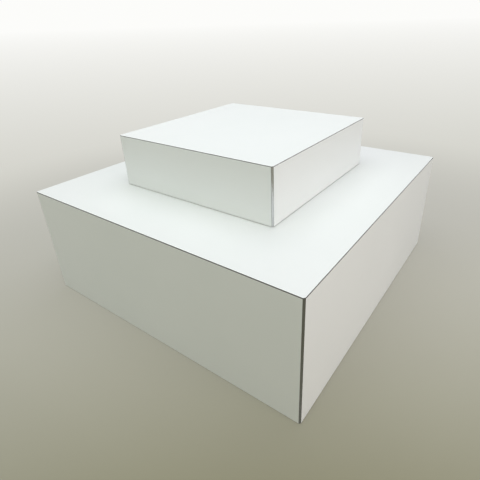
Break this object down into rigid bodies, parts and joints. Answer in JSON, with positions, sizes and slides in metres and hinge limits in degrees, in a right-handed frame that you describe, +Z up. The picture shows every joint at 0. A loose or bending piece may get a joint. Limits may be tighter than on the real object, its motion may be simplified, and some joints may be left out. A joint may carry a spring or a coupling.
{
  "type": "tiered display table",
  "caption": "Square two-tier shop display table: a white laminated base plinth on screw levellers with a smaller riser box standing loose on its deck.",
  "frame": {"origin": "on the floor, under the middle of the table", "axes": "+Z up; -Y is the front, the left-hand upright face in the picture; +X is the right-hand one"},
  "size_m": [1.2, 1.2, 0.653],
  "materials": {
    "white_laminate": "satin",
    "board": "raw",
    "timber": "planed",
    "trim_metal": "satin",
    "zinc_steel": "zinc plated",
    "foot_plastic": "moulded",
    "grip_rubber": "matt"
  },
  "bodies": {
    "base": {"base_top_board": "board", "base_top_laminate": "white_laminate", "base_front_board": "board", "base_right_board": "board", "base_back_board": "board", "base_left_board": "board", "base_front_laminate": "white_laminate", "base_right_laminate": "white_laminate", "base_back_laminate": "white_laminate", "base_left_laminate": "white_laminate", "base_corner_trim_front_right": "trim_metal", "base_corner_trim_back_right": "trim_metal", "base_corner_trim_back_left": "trim_metal", "base_corner_trim_front_left": "trim_metal", "base_post_front_right": "timber", "base_post_back_right": "timber", "base_post_back_left": "timber", "base_post_front_left": "timber", "base_cleat_front": "timber", "base_cleat_right": "timber", "base_cleat_back": "timber", "base_cleat_left": "timber", "base_rib_left_right": "board", "base_rib_front_back": "board", "leveller_insert_front_right": "zinc_steel", "leveller_insert_back_right": "zinc_steel", "leveller_insert_back_left": "zinc_steel", "leveller_insert_front_left": "zinc_steel"},
    "riser": {"riser_top_board": "board", "riser_top_laminate": "white_laminate", "riser_front_board": "board", "riser_right_board": "board", "riser_back_board": "board", "riser_left_board": "board", "riser_front_laminate": "white_laminate", "riser_right_laminate": "white_laminate", "riser_back_laminate": "white_laminate", "riser_left_laminate": "white_laminate", "riser_corner_trim_front_right": "trim_metal", "riser_corner_trim_back_right": "trim_metal", "riser_corner_trim_back_left": "trim_metal", "riser_corner_trim_front_left": "trim_metal", "riser_block_front_right": "timber", "riser_block_back_right": "timber", "riser_block_back_left": "timber", "riser_block_front_left": "timber", "riser_grip_front_right": "grip_rubber", "riser_grip_back_right": "grip_rubber", "riser_grip_back_left": "grip_rubber", "riser_grip_front_left": "grip_rubber"},
    "foot_front_right": {"leveller_foot_front_right": "foot_plastic"},
    "foot_back_right": {"leveller_foot_back_right": "foot_plastic"},
    "foot_back_left": {"leveller_foot_back_left": "foot_plastic"},
    "foot_front_left": {"leveller_foot_front_left": "foot_plastic"},
    "screw_front_right": {"leveller_screw_front_right": "zinc_steel"},
    "screw_back_right": {"leveller_screw_back_right": "zinc_steel"},
    "screw_back_left": {"leveller_screw_back_left": "zinc_steel"},
    "screw_front_left": {"leveller_screw_front_left": "zinc_steel"}
  },
  "joints": [
    {"name": "riser_lift", "type": "slide", "parent": "base", "child": "riser", "axis": [0, 0, 1], "range_m": [0, 0.3]},
    {"name": "foot_slide_front_right", "type": "slide", "parent": "base", "child": "foot_front_right", "axis": [0, 0, -1], "range_m": [0, 0.02]},
    {"name": "foot_slide_back_right", "type": "slide", "parent": "base", "child": "foot_back_right", "axis": [0, 0, -1], "range_m": [0, 0.02]},
    {"name": "foot_slide_back_left", "type": "slide", "parent": "base", "child": "foot_back_left", "axis": [0, 0, -1], "range_m": [0, 0.02]},
    {"name": "foot_slide_front_left", "type": "slide", "parent": "base", "child": "foot_front_left", "axis": [0, 0, -1], "range_m": [0, 0.02]},
    {"name": "screw_turn_front_right", "type": "hinge", "parent": "foot_front_right", "child": "screw_front_right", "pos_m": [0.5574, -0.5574, 0.02], "axis": [0, 0, -1], "range_deg": [0, 4800]},
    {"name": "screw_turn_back_right", "type": "hinge", "parent": "foot_back_right", "child": "screw_back_right", "pos_m": [0.5574, 0.5574, 0.02], "axis": [0, 0, -1], "range_deg": [0, 4800]},
    {"name": "screw_turn_back_left", "type": "hinge", "parent": "foot_back_left", "child": "screw_back_left", "pos_m": [-0.5574, 0.5574, 0.02], "axis": [0, 0, -1], "range_deg": [0, 4800]},
    {"name": "screw_turn_front_left", "type": "hinge", "parent": "foot_front_left", "child": "screw_front_left", "pos_m": [-0.5574, -0.5574, 0.02], "axis": [0, 0, -1], "range_deg": [0, 4800]}
  ],
  "couplings": [
    {"joint": "screw_turn_front_right", "follows": "foot_slide_front_right", "rad_per_m": 4188.8},
    {"joint": "screw_turn_back_right", "follows": "foot_slide_back_right", "rad_per_m": 4188.8},
    {"joint": "screw_turn_back_left", "follows": "foot_slide_back_left", "rad_per_m": 4188.8},
    {"joint": "screw_turn_front_left", "follows": "foot_slide_front_left", "rad_per_m": 4188.8}
  ]
}
